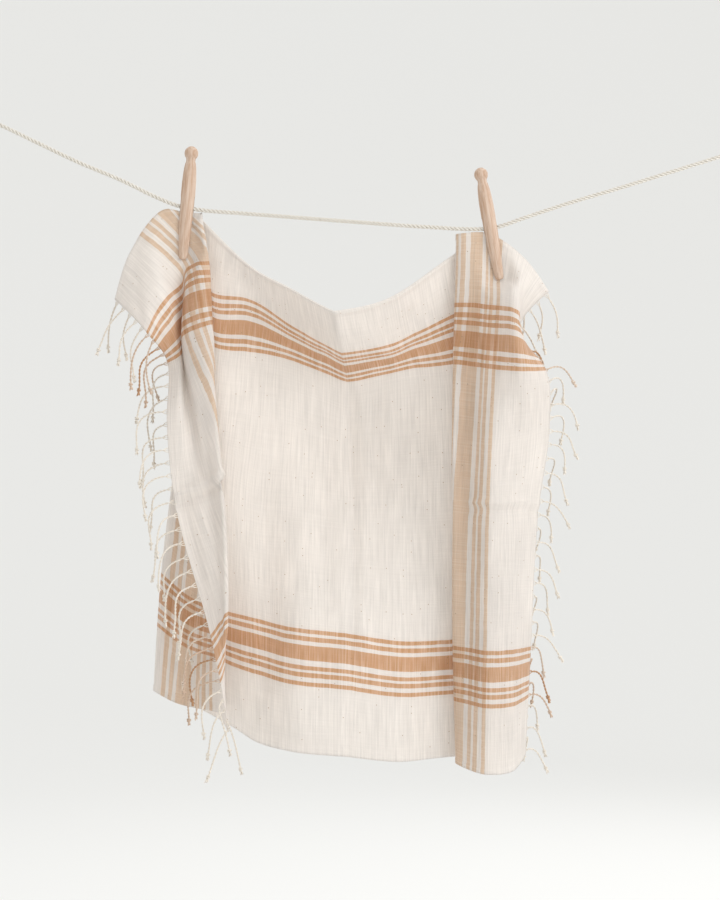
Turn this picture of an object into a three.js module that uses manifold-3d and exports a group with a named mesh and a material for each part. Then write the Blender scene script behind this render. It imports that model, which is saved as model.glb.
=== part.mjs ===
// A fringed hand towel that hangs sideways from a clothesline, held by two one-piece turned pegs.
// Millimetres. +X runs right along the line, +Y runs back from the viewer, +Z is up.
// The origin is where the left stopper knot of the line begins.

import * as THREE from "three";
import { mergeVertices } from "three/addons/utils/BufferGeometryUtils.js";
import Module from "manifold-3d";

// Cloth
const clothLength = 642;       // between the fringed ends
const clothWidth = 508;        // between the hems
const clothThickness = 1;
const hemWidth = 5;
const hemThickness = 1.8;
const hemStep = 1;             // over which the hem thins to the cloth
const columnPitch = 24;        // widest column of the sheet
const rowCount = 24;

// Fringe
const strandCount = 40;        // at each end
const strandRadius = 1.2;
const strandKnotRadius = 2.3;
const tuftRadius = 1.8;
const tuftLength = 5;
const rootStripWidth = 3;
const rootStripGap = 0.5;
const pieceGap = 0.3;

// Line
const lineRadius = 2.1;
const lineSides = 8;
const lineSteps = 62;
const knotRadius = 6;
const knotWraps = 3;
const tailLength = 14;

// Pegs
const pegSides = 18;
const pegAboveLine = 58;       // from the middle of the line to the top of the head
const pegBelowLine = 49;       // from the middle of the line to the tips
const slotWidth = 5;
const slotAboveLine = 11;
const pegs = [
  { name: "peg_left", right: 198.6, up: -87.6, leanDegrees: 4.6 },
  { name: "peg_right", right: 483.5, up: -107, leanDegrees: -10 },
];

// The route of the line, sagging a little between the pegs.
const lineRoute = [
  { right: 0, up: 0 },
  { right: 23, up: -9.8 },
  { right: 60.5, up: -27.7 },
  { right: 98, up: -45.5 },
  { right: 137.5, up: -62 },
  { right: 170.5, up: -78 },
  { right: 191, up: -86 },
  { right: 198.6, up: -87.8 },
  { right: 206, up: -89 },
  { right: 253, up: -93 },
  { right: 295, up: -96.2 },
  { right: 361, up: -101.2 },
  { right: 424, up: -105.6 },
  { right: 473, up: -107.5 },
  { right: 483.5, up: -107 },
  { right: 492.5, up: -105 },
  { right: 514, up: -97.6 },
  { right: 558, up: -83 },
  { right: 605, up: -69 },
  { right: 652, up: -54.4 },
  { right: 722, up: -32.4 },
];

// Levels down the cloth from its upper hem, measured on the cloth.
const levels = [0, 64, 121, 180, 254, 387, 508];

// One row for each line that runs down the cloth. At each level, "cloth" is its distance from the left
// fringed end, and "right", "back" and "up" are where it hangs. A row with a "turn" is a fold that brings
// the cloth back on itself over that depth, and a row with "crease" is a pressed crease.
const foldLines = [
  {
    name: "left end", cloth: [0, 0, 0, 0, 0, 0, 0],
    right: [130, 163, 180, 181, 188, 223, 239],
    back: [12, -26, 8, -14, -22, -34, -22],
    up: [-173, -206, -234, -288, -357, -486, -577],
  },
  {
    name: "left flap", cloth: [62, 40, 18, 15, 15, 7, 8],
    right: [153, 181, 191, 193, 199, 227, 238],
    back: [5, -14, 1, -16, -20, -35, -18],
    up: [-114, -172, -229, -287, -355, -481, -575.5],
  },
  {
    name: "left flap valley", cloth: [101, 60, 40, 33, 24, 12, 18],
    right: [180, 194, 193, 201, 208, 231, 236],
    back: [1, 4, 15, -8, -20, -36, -12],
    up: [-88.5, -157, -221, -282, -353, -475, -572.5],
  },
  {
    name: "left strip crest", cloth: [116, 72, 60, 54, 40, 17, 28],
    right: [193, 198, 195.5, 211, 221, 235, 233],
    back: [-1.5, -3, -9, -18, -20, -38, -6],
    up: [-91, -146, -211, -276, -349, -471, -569],
  },
  {
    name: "left front fold", turn: 4, cloth: [134, 102, 92, 73, 57, 24, 40],
    right: [212, 218, 222, 226, 233, 238, 230],
    back: [-3, -5, -11, -18, -24, -38, 4],
    up: [-93, -139, -200, -261, -341, -464, -563],
  },
  {
    name: "left rear layer", cloth: [141, 124, 118, 110, 110, 110, 110],
    right: [210.5, 214, 209, 206, 201, 190, 180.5],
    back: [3, 9, 9, 10, 17, 19, 20],
    up: [-93, -141, -199, -258, -328, -447, -552],
  },
  {
    name: "left rear fold", turn: 4, cloth: [148, 140, 136, 133, 132, 132, 132],
    right: [207, 208, 200, 193, 186, 172, 164.5],
    back: [8, 13, 20, 26, 30, 32, 34],
    up: [-93, -140, -195, -254, -317, -432, -544],
  },
  {
    name: "panel start", cloth: [163, 177, 189, 197, 206, 210, 216],
    right: [216, 222, 228, 231, 234, 237, 244],
    back: [6, 9, 12, 16, 20, 24, 28],
    up: [-102, -167, -221, -279, -347, -469, -581],
  },
  {
    name: "panel sag", cloth: [210, 210, 215, 222, 230, 232, 234],
    right: [256, 254, 254, 256, 256, 258, 261],
    back: [-2, 12, 24, 30, 30, 20, 22],
    up: [-141, -172, -223, -283, -358, -474, -591],
  },
  {
    name: "panel left of the crease", cloth: [265, 265, 265, 265, 265, 265, 265],
    right: [295, 299, 295, 294, 291, 292, 292],
    back: [-14, 14, 36, 50, 40, 12, 6],
    up: [-164, -199, -230, -290, -363, -482, -598],
  },
  {
    name: "middle crease", crease: true, cloth: [321, 321, 321, 321, 321, 321, 321],
    right: [337, 344, 349, 348, 349, 347, 346],
    back: [-46, -4, 42, 62, 44, 6, 0],
    up: [-188, -224, -251, -303, -371, -488, -603],
  },
  {
    name: "panel right of the crease", cloth: [377, 377, 377, 377, 377, 377, 377],
    right: [384, 393, 400, 402, 403, 403, 402],
    back: [-24, 10, 34, 46, 36, 10, 4],
    up: [-176, -214, -240, -300, -371, -496, -608],
  },
  {
    name: "panel end", cloth: [455, 443, 430, 426, 424, 421, 421],
    right: [449, 449, 449, 449, 449, 449, 451],
    back: [10, 18, 22, 24, 24, 18, 16],
    up: [-131, -187, -235, -296, -369, -495, -605],
  },
  {
    name: "right rear fold", turn: -4, cloth: [488, 485, 482, 480, 480, 480, 480],
    right: [473, 485, 497, 501, 505, 507, 507],
    back: [20, 24, 26, 28, 28, 26, 26],
    up: [-114, -172, -225, -291, -361, -492, -607],
  },
  {
    name: "right front fold", turn: -4, cloth: [520, 521, 528, 531, 535, 538, 539],
    right: [452, 450.5, 449, 448, 448, 448.5, 451.5],
    back: [8, 8, 6, 4, 3, 2, 2],
    up: [-112, -177, -236, -302, -368, -499, -609],
  },
  {
    name: "right strip", cloth: [546, 546, 546, 546, 550, 553.6, 553.6],
    right: [472, 469.7, 465.5, 461.5, 460.6, 459.6, 457.5],
    back: [-1, -4, 2, 2, 0, -5, -8],
    up: [-110.5, -178, -238, -303.5, -369.5, -500, -611.5],
  },
  {
    name: "right flap", cloth: [560, 562, 570, 575, 579, 579, 579],
    right: [480.5, 479.5, 481, 481, 481.5, 479, 477],
    back: [-1, -14, -16, -20, -20, -21, -24],
    up: [-111, -180, -241, -306, -371, -502, -616],
  },
  {
    name: "right flap bulge", cloth: [602, 602, 606, 608, 610, 610, 610],
    right: [514.5, 504.5, 508, 510, 507, 503, 502],
    back: [4, -36, -36, -10, -6, -8, -10],
    up: [-134, -186, -244, -302, -371, -502, -615],
  },
  {
    name: "right end", cloth: [642, 642, 642, 642, 642, 642, 642],
    right: [539, 510, 535, 539.5, 530, 522.5, 518],
    back: [8, -4, -12, 8, 16, 16, 26],
    up: [-166, -204, -242, -294, -370, -501, -604],
  },
];
const creaseSharpness = 0.75;
const turnReach = 0.4;         // length of cloth on each side of a fold line, as a share of its turn

// Where a peg holds the cloth, it lies flat between the legs over this half width and beyond.
const gripHalfWidth = 7;
const gripFade = 15;
const gripReaches = { peg_left: [0, 133], peg_right: [530, clothLength] };

// How the strands of each fringed end fall. At each level, "length" is their length and "droop" is how
// far they turn from straight out to straight down.
const fringes = [
  {
    name: "fringe_left", end: 0, outward: -1, seed: 142,
    length: [46, 52, 58, 58, 58, 58, 60],
    droop: [1, 1, 1, 1, 1, 1, 1],
  },
  {
    name: "fringe_right", end: clothLength, outward: 1, seed: 24,
    length: [46, 46, 46, 46, 44, 42, 42],
    droop: [0.8, 0.85, 0.85, 0.85, 0.85, 0.85, 0.85],
  },
];
const fallShare = 0.7;         // share of a strand over which it turns down
const strandLanes = [0, 1, -0.5, 0.5, -1];    // neighbouring strands lean back and forward in turn
const strandSpread = 0.4;      // how far the outermost lanes lean
const strandSway = 0.1;
const strandWave = 0.15;       // how far a strand swings to one side and back on its way down

const wasm = await Module();
wasm.setup();

const towelCotton = new THREE.MeshStandardMaterial({ color: "#ece4d8", roughness: 0.95, metalness: 0 });
const fringeCotton = new THREE.MeshStandardMaterial({ color: "#e9ddcc", roughness: 0.95, metalness: 0 });
const pegWood = new THREE.MeshStandardMaterial({ color: "#e3cdb9", roughness: 0.7, metalness: 0 });
const ropeCotton = new THREE.MeshStandardMaterial({ color: "#ddd6ca", roughness: 0.9, metalness: 0 });

function mix(a, b, share) {
  return a + (b - a) * share;
}

function smoothStep(value) {
  const t = Math.min(Math.max(value, 0), 1);
  return t * t * (3 - 2 * t);
}

// A number from 0 to 1 that looks random and is the same each time.
function scatter(number) {
  const wave = Math.sin(number * 12.9898) * 43758.5453;
  return wave - Math.floor(wave);
}

// A smooth curve through the values at the places, sharper at the listed creases.
function curveThrough(places, values, creases = []) {
  const spans = places.slice(1).map((place, i) => place - places[i]);
  const rises = spans.map((span, i) => (values[i + 1] - values[i]) / span);
  const last = spans.length;
  const slopes = places.map((place, i) => {
    if (i === 0 || i === last) return 0;
    return (rises[i - 1] * spans[i] + rises[i] * spans[i - 1]) / (spans[i - 1] + spans[i]);
  });
  slopes[0] = 1.5 * rises[0] - 0.5 * slopes[1];
  slopes[last] = 1.5 * rises[last - 1] - 0.5 * slopes[last - 1];
  return (place) => {
    const found = spans.findIndex((span, i) => place <= places[i + 1]);
    const i = found < 0 ? last - 1 : found;
    const t = (place - places[i]) / spans[i];
    const leave = creases.includes(i) ? mix(slopes[i], rises[i], creaseSharpness) : slopes[i];
    const arrive = creases.includes(i + 1) ? mix(slopes[i + 1], rises[i], creaseSharpness) : slopes[i + 1];
    const bend = (1 - t) * (leave - rises[i]) - t * (arrive - rises[i]);
    return mix(values[i], values[i + 1], t) + t * (1 - t) * bend * spans[i];
  };
}

// How firmly the pegs flatten the cloth at this point, from 0 to 1.
function gripAt(clothPlace, point) {
  let grip = 0;
  for (const peg of pegs) {
    const [from, to] = gripReaches[peg.name];
    if (clothPlace < from || clothPlace > to) continue;
    const lean = THREE.MathUtils.degToRad(peg.leanDegrees);
    const right = point.x - peg.right;
    const up = point.z - peg.up;
    const beside = Math.abs(right * Math.cos(lean) - up * Math.sin(lean));
    const below = -(right * Math.sin(lean) + up * Math.cos(lean)) - pegBelowLine;
    const away = Math.hypot(Math.max(beside - gripHalfWidth, 0), Math.max(below, 0));
    grip = Math.max(grip, 1 - smoothStep(away / gripFade));
  }
  return grip;
}

// The cloth's section at one level: the places of its fold lines and the point at any place.
function sectionAt(level) {
  const places = [];
  const rights = [];
  const backs = [];
  const ups = [];
  const creases = [];
  for (const line of foldLines) {
    const [cloth, right, back, up] = [line.cloth, line.right, line.back, line.up]
      .map((column) => curveThrough(levels, column)(level));
    if (line.crease) creases.push(places.length);
    for (const side of line.turn ? [-1, 1] : [0]) {
      const turn = line.turn ?? 0;
      places.push(cloth + side * turnReach * Math.abs(turn));
      rights.push(right);
      backs.push(back + side * turn / 2);
      ups.push(up);
    }
  }
  const rightAt = curveThrough(places, rights, creases);
  const backAt = curveThrough(places, backs, creases);
  const upAt = curveThrough(places, ups, creases);
  const pointAt = (place) => {
    const point = new THREE.Vector3(rightAt(place), backAt(place), upAt(place));
    point.y *= 1 - gripAt(place, point);
    return point;
  };
  return { places, pointAt };
}

// The levels of the rows of the sheet: the two hems, with even rows between them.
function sheetRows() {
  const inner = hemWidth + hemStep;
  const rows = [0, hemWidth];
  for (let row = 0; row <= rowCount; row += 1) {
    rows.push(mix(inner, clothWidth - inner, row / rowCount));
  }
  rows.push(clothWidth - hemWidth, clothWidth);
  return rows;
}

// The grid of points of the cloth's middle surface, its columns running along the fold lines.
function clothGrid() {
  const sections = sheetRows().map(sectionAt);
  const columns = [];
  const lineCount = sections[0].places.length;
  for (let i = 0; i + 1 < lineCount; i += 1) {
    const widest = Math.max(...sections.map((section) => section.places[i + 1] - section.places[i]));
    const steps = Math.max(2, Math.ceil(widest / columnPitch));
    for (let step = 0; step < steps; step += 1) columns.push({ line: i, share: step / steps });
  }
  columns.push({ line: lineCount - 2, share: 1 });
  return sections.map(({ places, pointAt }) =>
    columns.map(({ line, share }) => pointAt(mix(places[line], places[line + 1], share))));
}

const cloth = clothGrid();

// A closed sheet around a grid of middle points. The thickness may differ from row to row.
function sheetGeometry(points, thicknesses) {
  const rowTotal = points.length;
  const columnTotal = points[0].length;
  const positions = [];
  for (const side of [-0.5, 0.5]) {
    points.forEach((row, i) => row.forEach((point, j) => {
      const down = points[Math.min(i + 1, rowTotal - 1)][j].clone().sub(points[Math.max(i - 1, 0)][j]);
      const across = row[Math.min(j + 1, columnTotal - 1)].clone().sub(row[Math.max(j - 1, 0)]);
      const normal = down.cross(across).normalize();
      positions.push(...point.clone().addScaledVector(normal, side * thicknesses[i]).toArray());
    }));
  }
  const rear = rowTotal * columnTotal;
  const corner = (i, j) => i * columnTotal + j;
  const indices = [];
  const quad = (a, b, c, d) => indices.push(a, b, c, a, c, d);
  for (let i = 0; i + 1 < rowTotal; i += 1) {
    for (let j = 0; j + 1 < columnTotal; j += 1) {
      const around = [corner(i, j), corner(i, j + 1), corner(i + 1, j + 1), corner(i + 1, j)];
      quad(...around);
      quad(...around.reverse().map((index) => index + rear));
    }
  }
  const rim = [];
  for (let j = 0; j < columnTotal; j += 1) rim.push(corner(0, j));
  for (let i = 1; i < rowTotal; i += 1) rim.push(corner(i, columnTotal - 1));
  for (let j = columnTotal - 2; j >= 0; j -= 1) rim.push(corner(rowTotal - 1, j));
  for (let i = rowTotal - 2; i > 0; i -= 1) rim.push(corner(i, 0));
  rim.forEach((from, k) => {
    const to = rim[(k + 1) % rim.length];
    quad(from, from + rear, to + rear, to);
  });
  const geometry = new THREE.BufferGeometry();
  geometry.setAttribute("position", new THREE.Float32BufferAttribute(positions, 3));
  geometry.setIndex(indices);
  return geometry;
}

function towelGeometry() {
  const thicknesses = sheetRows().map((row) => {
    const inHem = row <= hemWidth || row >= clothWidth - hemWidth;
    return inHem ? hemThickness : clothThickness;
  });
  return sheetGeometry(cloth, thicknesses);
}

// The fringed edge at each row of the sheet: its point, and the way straight out from the edge.
function edgeRows(fringe) {
  const order = fringe.outward > 0 ? [-1, -2] : [0, 1];
  const [ends, inners] = order.map((column) => cloth.map((row) => row.at(column)));
  return sheetRows().map((level, i) => {
    const point = ends[i];
    const along = ends[Math.min(i + 1, ends.length - 1)].clone().sub(ends[Math.max(i - 1, 0)]).normalize();
    const out = point.clone().sub(inners[i]);
    out.addScaledVector(along, -out.dot(along)).normalize();
    return { level, point, out };
  });
}

// The fringed edge at any level: its point, the way out from it and the way the cloth faces there.
function edgeAt(edge, level) {
  const i = Math.max(edge.findIndex((row) => row.level > level), 1);
  const share = (level - edge[i - 1].level) / (edge[i].level - edge[i - 1].level);
  const point = edge[i - 1].point.clone().lerp(edge[i].point, share);
  const out = edge[i - 1].out.clone().lerp(edge[i].out, share).normalize();
  const face = out.clone().cross(edge[i].point.clone().sub(edge[i - 1].point)).normalize();
  return { point, out, face };
}

// The narrow strip of weave that joins the roots of the strands.
function rootStripGeometry(fringe, edge) {
  const points = edge.map(({ point, out }) => {
    const near = point.clone().addScaledVector(out, rootStripGap);
    const far = near.clone().addScaledVector(out, rootStripWidth);
    return fringe.outward > 0 ? [near, far] : [far, near];
  });
  return sheetGeometry(points, points.map(() => clothThickness));
}

// The middle points of one strand. It leaves the edge straight out and turns down under its weight.
function strandPoints(fringe, edge, index) {
  const stepCount = 8;
  const endInset = 4;
  const level = mix(endInset, clothWidth - endInset, index / (strandCount - 1));
  const { point, out, face } = edgeAt(edge, level);
  const along = out.clone().cross(face);
  const chance = (kind) => scatter(index + strandCount * kind + fringe.seed) - 0.5;
  const length = curveThrough(levels, fringe.length)(level) * (1 + 0.2 * chance(1));
  const droop = curveThrough(levels, fringe.droop)(level) + 0.1 * chance(2);
  const lean = strandSpread * strandLanes[index % strandLanes.length] + strandSway * chance(4);
  const down = new THREE.Vector3(0, 0, -1);
  const place = point.clone().addScaledVector(out, rootStripGap + strandRadius);
  const points = [place.clone()];
  for (let step = 0; step < stepCount; step += 1) {
    const share = (step + 0.5) / stepCount;
    const turned = droop * smoothStep(share / fallShare);
    const wave = strandWave * Math.sin(2 * Math.PI * (share + chance(5)));
    const way = out.clone().multiplyScalar(1 - turned + wave).addScaledVector(down, turned);
    way.addScaledVector(along, strandSway * chance(3)).addScaledVector(face, lean);
    place.addScaledVector(way.normalize(), length / stepCount);
    points.push(place.clone());
  }
  return { points, face, length };
}

// A three-sided strand with its knot and tuft.
function strandGeometry(fringe, edge, index) {
  const sides = 3;
  const { points, face, length } = strandPoints(fringe, edge, index);
  const curve = new THREE.CatmullRomCurve3(points);
  const knotAt = length - tuftLength;
  const rings = [
    { at: 0, radius: strandRadius },
    { at: length * 0.2, radius: strandRadius },
    { at: knotAt - 3, radius: strandRadius },
    { at: knotAt, radius: strandKnotRadius },
    { at: knotAt + 2.5, radius: strandRadius },
    { at: length, radius: tuftRadius },
  ];
  const positions = [];
  for (const ring of rings) {
    const middle = curve.getPointAt(ring.at / length);
    const way = curve.getTangentAt(ring.at / length);
    const first = face.clone().addScaledVector(way, -face.dot(way)).normalize();
    const second = way.clone().cross(first);
    for (let side = 0; side < sides; side += 1) {
      const angle = 2 * Math.PI * side / sides;
      const corner = middle.clone();
      corner.addScaledVector(first, ring.radius * Math.cos(angle));
      corner.addScaledVector(second, ring.radius * Math.sin(angle));
      positions.push(...corner.toArray());
    }
  }
  const indices = [0, 2, 1];
  for (let ring = 0; ring + 1 < rings.length; ring += 1) {
    for (let side = 0; side < sides; side += 1) {
      const here = ring * sides + side;
      const next = ring * sides + (side + 1) % sides;
      indices.push(here, next, next + sides, here, next + sides, here + sides);
    }
  }
  const last = (rings.length - 1) * sides;
  indices.push(last, last + 1, last + 2);
  const geometry = new THREE.BufferGeometry();
  geometry.setAttribute("position", new THREE.Float32BufferAttribute(positions, 3));
  geometry.setIndex(indices);
  return geometry;
}

function solidOf(geometry) {
  const bare = geometry.clone();
  bare.deleteAttribute("normal");
  bare.deleteAttribute("uv");
  const merged = mergeVertices(bare, 1e-4);
  return new wasm.Manifold(new wasm.Mesh({
    numProp: 3,
    vertProperties: new Float32Array(merged.attributes.position.array),
    triVerts: new Uint32Array(merged.index.array),
  }));
}

function geometryOf(solid) {
  const { vertProperties, triVerts } = solid.getMesh();
  const geometry = new THREE.BufferGeometry();
  geometry.setAttribute("position", new THREE.BufferAttribute(vertProperties, 3));
  geometry.setIndex(new THREE.BufferAttribute(triVerts, 1));
  geometry.computeVertexNormals();
  return geometry;
}

function fringeGeometry(fringe) {
  const edge = edgeRows(fringe);
  let solid = solidOf(rootStripGeometry(fringe, edge));
  for (let index = 0; index < strandCount; index += 1) {
    solid = solid.add(solidOf(strandGeometry(fringe, edge, index)));
  }
  return geometryOf(solid);
}

// A turned peg, its origin on its axis where the line crosses it, cut by a slot that is open below.
function pegGeometry() {
  const outline = [
    { belowTop: 0, radius: 0 },
    { belowTop: 0.6, radius: 2.6 },
    { belowTop: 2.6, radius: 5 },
    { belowTop: 6.4, radius: 6.5 },
    { belowTop: 10, radius: 5.7 },
    { belowTop: 12.4, radius: 4.3 },
    { belowTop: 14.2, radius: 4.3 },
    { belowTop: 17, radius: 5.1 },
    { belowTop: 24, radius: 6 },
    { belowTop: 34, radius: 6.6 },
    { belowTop: 62, radius: 6.7 },
    { belowTop: 84, radius: 6 },
    { belowTop: 103, radius: 4.9 },
    { belowTop: 106, radius: 4.2 },
    { belowTop: 107, radius: 3 },
    { belowTop: 107, radius: 0 },
  ];
  const profile = outline.map(({ belowTop, radius }) => new THREE.Vector2(radius, pegAboveLine - belowTop));
  const body = new THREE.LatheGeometry(profile.reverse(), pegSides).rotateX(Math.PI / 2);
  const half = slotWidth / 2;
  const slot = new THREE.Shape();
  slot.moveTo(-half, -pegBelowLine - half);
  slot.lineTo(half, -pegBelowLine - half);
  slot.lineTo(half, slotAboveLine - half);
  slot.absarc(0, slotAboveLine - half, half, 0, Math.PI);
  slot.closePath();
  const depth = 4 * gripHalfWidth;
  const cutter = new THREE.ExtrudeGeometry(slot, { depth, bevelEnabled: false, curveSegments: 6 });
  cutter.translate(0, 0, -depth / 2);
  cutter.applyMatrix4(new THREE.Matrix4().makeBasis(
    new THREE.Vector3(0, 1, 0),
    new THREE.Vector3(0, 0, 1),
    new THREE.Vector3(1, 0, 0),
  ));
  return geometryOf(solidOf(body).subtract(solidOf(cutter)));
}

function ropeSection() {
  const section = new THREE.Shape();
  for (let side = 0; side < lineSides; side += 1) {
    const angle = 2 * Math.PI * side / lineSides;
    const corner = [lineRadius * Math.cos(angle), lineRadius * Math.sin(angle)];
    if (side === 0) section.moveTo(...corner);
    else section.lineTo(...corner);
  }
  section.closePath();
  return section;
}

function lineGeometry() {
  const route = new THREE.CatmullRomCurve3(lineRoute.map(({ right, up }) => new THREE.Vector3(right, 0, up)));
  return new THREE.ExtrudeGeometry(ropeSection(), { steps: lineSteps, extrudePath: route, bevelEnabled: false });
}

// A stopper knot whose wraps show as rounded ridges, with the short tail of the rope.
function knotGeometry() {
  const knotSides = 12;
  const wrapWidth = 2 * lineRadius;
  const profile = [new THREE.Vector2(0, 0)];
  for (let wrap = 0; wrap < knotWraps; wrap += 1) {
    const start = wrap * wrapWidth;
    profile.push(new THREE.Vector2(knotRadius - lineRadius * 0.7, start + wrapWidth * 0.04));
    profile.push(new THREE.Vector2(knotRadius, start + wrapWidth * 0.3));
    profile.push(new THREE.Vector2(knotRadius, start + wrapWidth * 0.7));
  }
  const knotLength = knotWraps * wrapWidth;
  profile.push(new THREE.Vector2(knotRadius - lineRadius * 0.7, knotLength));
  profile.push(new THREE.Vector2(lineRadius, knotLength + 0.5));
  profile.push(new THREE.Vector2(lineRadius, knotLength + tailLength));
  profile.push(new THREE.Vector2(0, knotLength + tailLength));
  return new THREE.LatheGeometry(profile, knotSides);
}

function named(name, geometry, material) {
  const mesh = new THREE.Mesh(geometry, material);
  mesh.name = name;
  return mesh;
}

// A knot at one end of the line, turned so that its tail runs on from the line.
function lineKnot(name, end, inner) {
  const knot = named(name, knotGeometry(), ropeCotton);
  const away = new THREE.Vector3(end.right - inner.right, 0, end.up - inner.up).normalize();
  knot.quaternion.setFromUnitVectors(new THREE.Vector3(0, 1, 0), away);
  knot.position.set(end.right, 0, end.up).addScaledVector(away, pieceGap);
  return knot;
}

const towelOnLine = new THREE.Group();
towelOnLine.add(named("towel", towelGeometry(), towelCotton));
for (const fringe of fringes) towelOnLine.add(named(fringe.name, fringeGeometry(fringe), fringeCotton));
for (const peg of pegs) {
  const mesh = named(peg.name, pegGeometry(), pegWood);
  mesh.position.set(peg.right, 0, peg.up);
  mesh.rotation.y = THREE.MathUtils.degToRad(peg.leanDegrees);
  towelOnLine.add(mesh);
}
towelOnLine.add(named("line", lineGeometry(), ropeCotton));
towelOnLine.add(lineKnot("line_knot_left", lineRoute[0], lineRoute[1]));
towelOnLine.add(lineKnot("line_knot_right", lineRoute.at(-1), lineRoute.at(-2)));

export default towelOnLine;
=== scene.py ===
"""A fringed hand towel, hung sideways from a clothesline by two turned wooden pegs."""
import math

import bmesh
import bpy
import numpy as np
from mathutils import Matrix, Vector


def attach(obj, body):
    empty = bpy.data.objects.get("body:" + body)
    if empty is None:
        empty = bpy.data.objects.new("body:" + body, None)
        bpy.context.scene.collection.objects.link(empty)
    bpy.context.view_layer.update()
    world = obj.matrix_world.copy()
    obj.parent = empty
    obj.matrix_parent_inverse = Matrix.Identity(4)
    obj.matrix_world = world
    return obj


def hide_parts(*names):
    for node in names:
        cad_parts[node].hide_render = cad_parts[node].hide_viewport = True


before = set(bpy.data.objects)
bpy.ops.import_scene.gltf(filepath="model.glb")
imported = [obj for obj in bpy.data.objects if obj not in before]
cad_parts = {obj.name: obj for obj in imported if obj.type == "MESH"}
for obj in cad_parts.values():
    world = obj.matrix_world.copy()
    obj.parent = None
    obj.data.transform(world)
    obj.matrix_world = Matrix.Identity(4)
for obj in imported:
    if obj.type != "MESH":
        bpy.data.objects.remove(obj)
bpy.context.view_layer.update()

# The view: level with the middle of the towel and 2 m in front of it, as a long lens sees it.
# Lengths are millimetres of the real piece, turned to metres by MM where a mesh is made.
MM = 0.001
VIEW_DISTANCE = 2000
VIEW_HEIGHT = 845              # what the picture covers from top to bottom at the line
VIEW_MIDDLE = (361, -315)      # right of and above the line's left end
SENSOR_HEIGHT = 36

camera_data = bpy.data.cameras.new("view")
camera_data.sensor_fit = "VERTICAL"
camera_data.sensor_height = SENSOR_HEIGHT
camera_data.lens = SENSOR_HEIGHT * VIEW_DISTANCE / VIEW_HEIGHT
camera_data.clip_end = 30
camera = bpy.data.objects.new("view", camera_data)
camera.location = (VIEW_MIDDLE[0] * MM, -VIEW_DISTANCE * MM, VIEW_MIDDLE[1] * MM)
camera.rotation_euler = (math.radians(90), 0, 0)
bpy.context.collection.objects.link(camera)
bpy.context.scene.camera = camera


# The line: a 4.2 mm cotton rope of three plies laid up right-handed, held taut at both ends.
# Each ply is a bundle of soft yarns, so it is matt and a little hairy.
LINE_ROUTE = [
    (0, 0, 0), (0.023, 0, -0.0098), (0.0605, 0, -0.0277), (0.098, 0, -0.0455), (0.1375, 0, -0.062),
    (0.1705, 0, -0.078), (0.191, 0, -0.086), (0.1986, 0, -0.0878), (0.206, 0, -0.089),
    (0.253, 0, -0.093), (0.295, 0, -0.0962), (0.361, 0, -0.1012), (0.424, 0, -0.1056),
    (0.473, 0, -0.1075), (0.4835, 0, -0.107), (0.4925, 0, -0.105), (0.514, 0, -0.0976),
    (0.558, 0, -0.083), (0.605, 0, -0.069), (0.652, 0, -0.0544), (0.722, 0, -0.0324),
]
LINE_DIAMETER = 4.2
LINE_PLIES = 3
LINE_STEP = 0.004              # metres between the points of its route
LINE_PITCH = 1.3               # between the points of its modelled plies
PLY_SIDES = 10
LINE_LAY = 12                  # length of rope in which a ply goes once around


def curve_through(places, values, creases=(), sharpness=0.75):
    """A smooth curve through the values at the places, sharper at the listed creases."""
    places = np.asarray(places, float)
    values = np.asarray(values, float)
    spans = np.diff(places)
    rises = np.diff(values) / spans
    slopes = np.zeros(len(places))
    slopes[1:-1] = (rises[:-1] * spans[1:] + rises[1:] * spans[:-1]) / (spans[:-1] + spans[1:])
    slopes[0] = 1.5 * rises[0] - 0.5 * slopes[1]
    slopes[-1] = 1.5 * rises[-1] - 0.5 * slopes[-2]
    leave = slopes[:-1].copy()
    arrive = slopes[1:].copy()
    for crease in creases:
        leave[crease] += (rises[crease] - leave[crease]) * sharpness
        arrive[crease - 1] += (rises[crease - 1] - arrive[crease - 1]) * sharpness

    def value_at(place):
        place = np.asarray(place, float)
        i = np.clip(np.searchsorted(places, place) - 1, 0, len(spans) - 1)
        t = (place - places[i]) / spans[i]
        bend = (1 - t) * (leave[i] - rises[i]) - t * (arrive[i] - rises[i])
        return values[i] + (values[i + 1] - values[i]) * t + t * (1 - t) * bend * spans[i]

    return value_at


def smooth_route(points, step):
    """Points every step along a smooth curve through the given points."""
    points = np.asarray(points, float)
    along = np.concatenate([[0], np.cumsum(np.linalg.norm(np.diff(points, axis=0), axis=1))])
    fine = np.linspace(0, along[-1], max(2, round(along[-1] / step)) + 1)
    return np.stack([curve_through(along, points[:, axis])(fine) for axis in range(3)], axis=1)


def add_node(tree, kind, inputs=None, **settings):
    """Adds a node to a tree, with its settings, and its inputs as values or as sockets to link."""
    node = tree.nodes.new(kind)
    for name, value in settings.items():
        setattr(node, name, value)
    for name, value in (inputs or {}).items():
        if isinstance(value, bpy.types.NodeSocket):
            tree.links.new(value, node.inputs[name])
        else:
            node.inputs[name].default_value = value
    return node


def linear(colour):
    """The linear red, green, blue and alpha of an sRGB hex colour."""
    parts = [int(colour[i:i + 2], 16) / 255 for i in (1, 3, 5)]
    return tuple(p / 12.92 if p <= 0.04045 else ((p + 0.055) / 1.055) ** 2.4 for p in parts) + (1,)


def new_material(name):
    """An empty material and its Principled shader, joined to the output."""
    material = bpy.data.materials.new(name)
    material.use_nodes = True
    material.node_tree.nodes.clear()
    shader = add_node(material.node_tree, "ShaderNodeBsdfPrincipled")
    add_node(material.node_tree, "ShaderNodeOutputMaterial", {"Surface": shader.outputs["BSDF"]})
    return material, material.node_tree, shader


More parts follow.
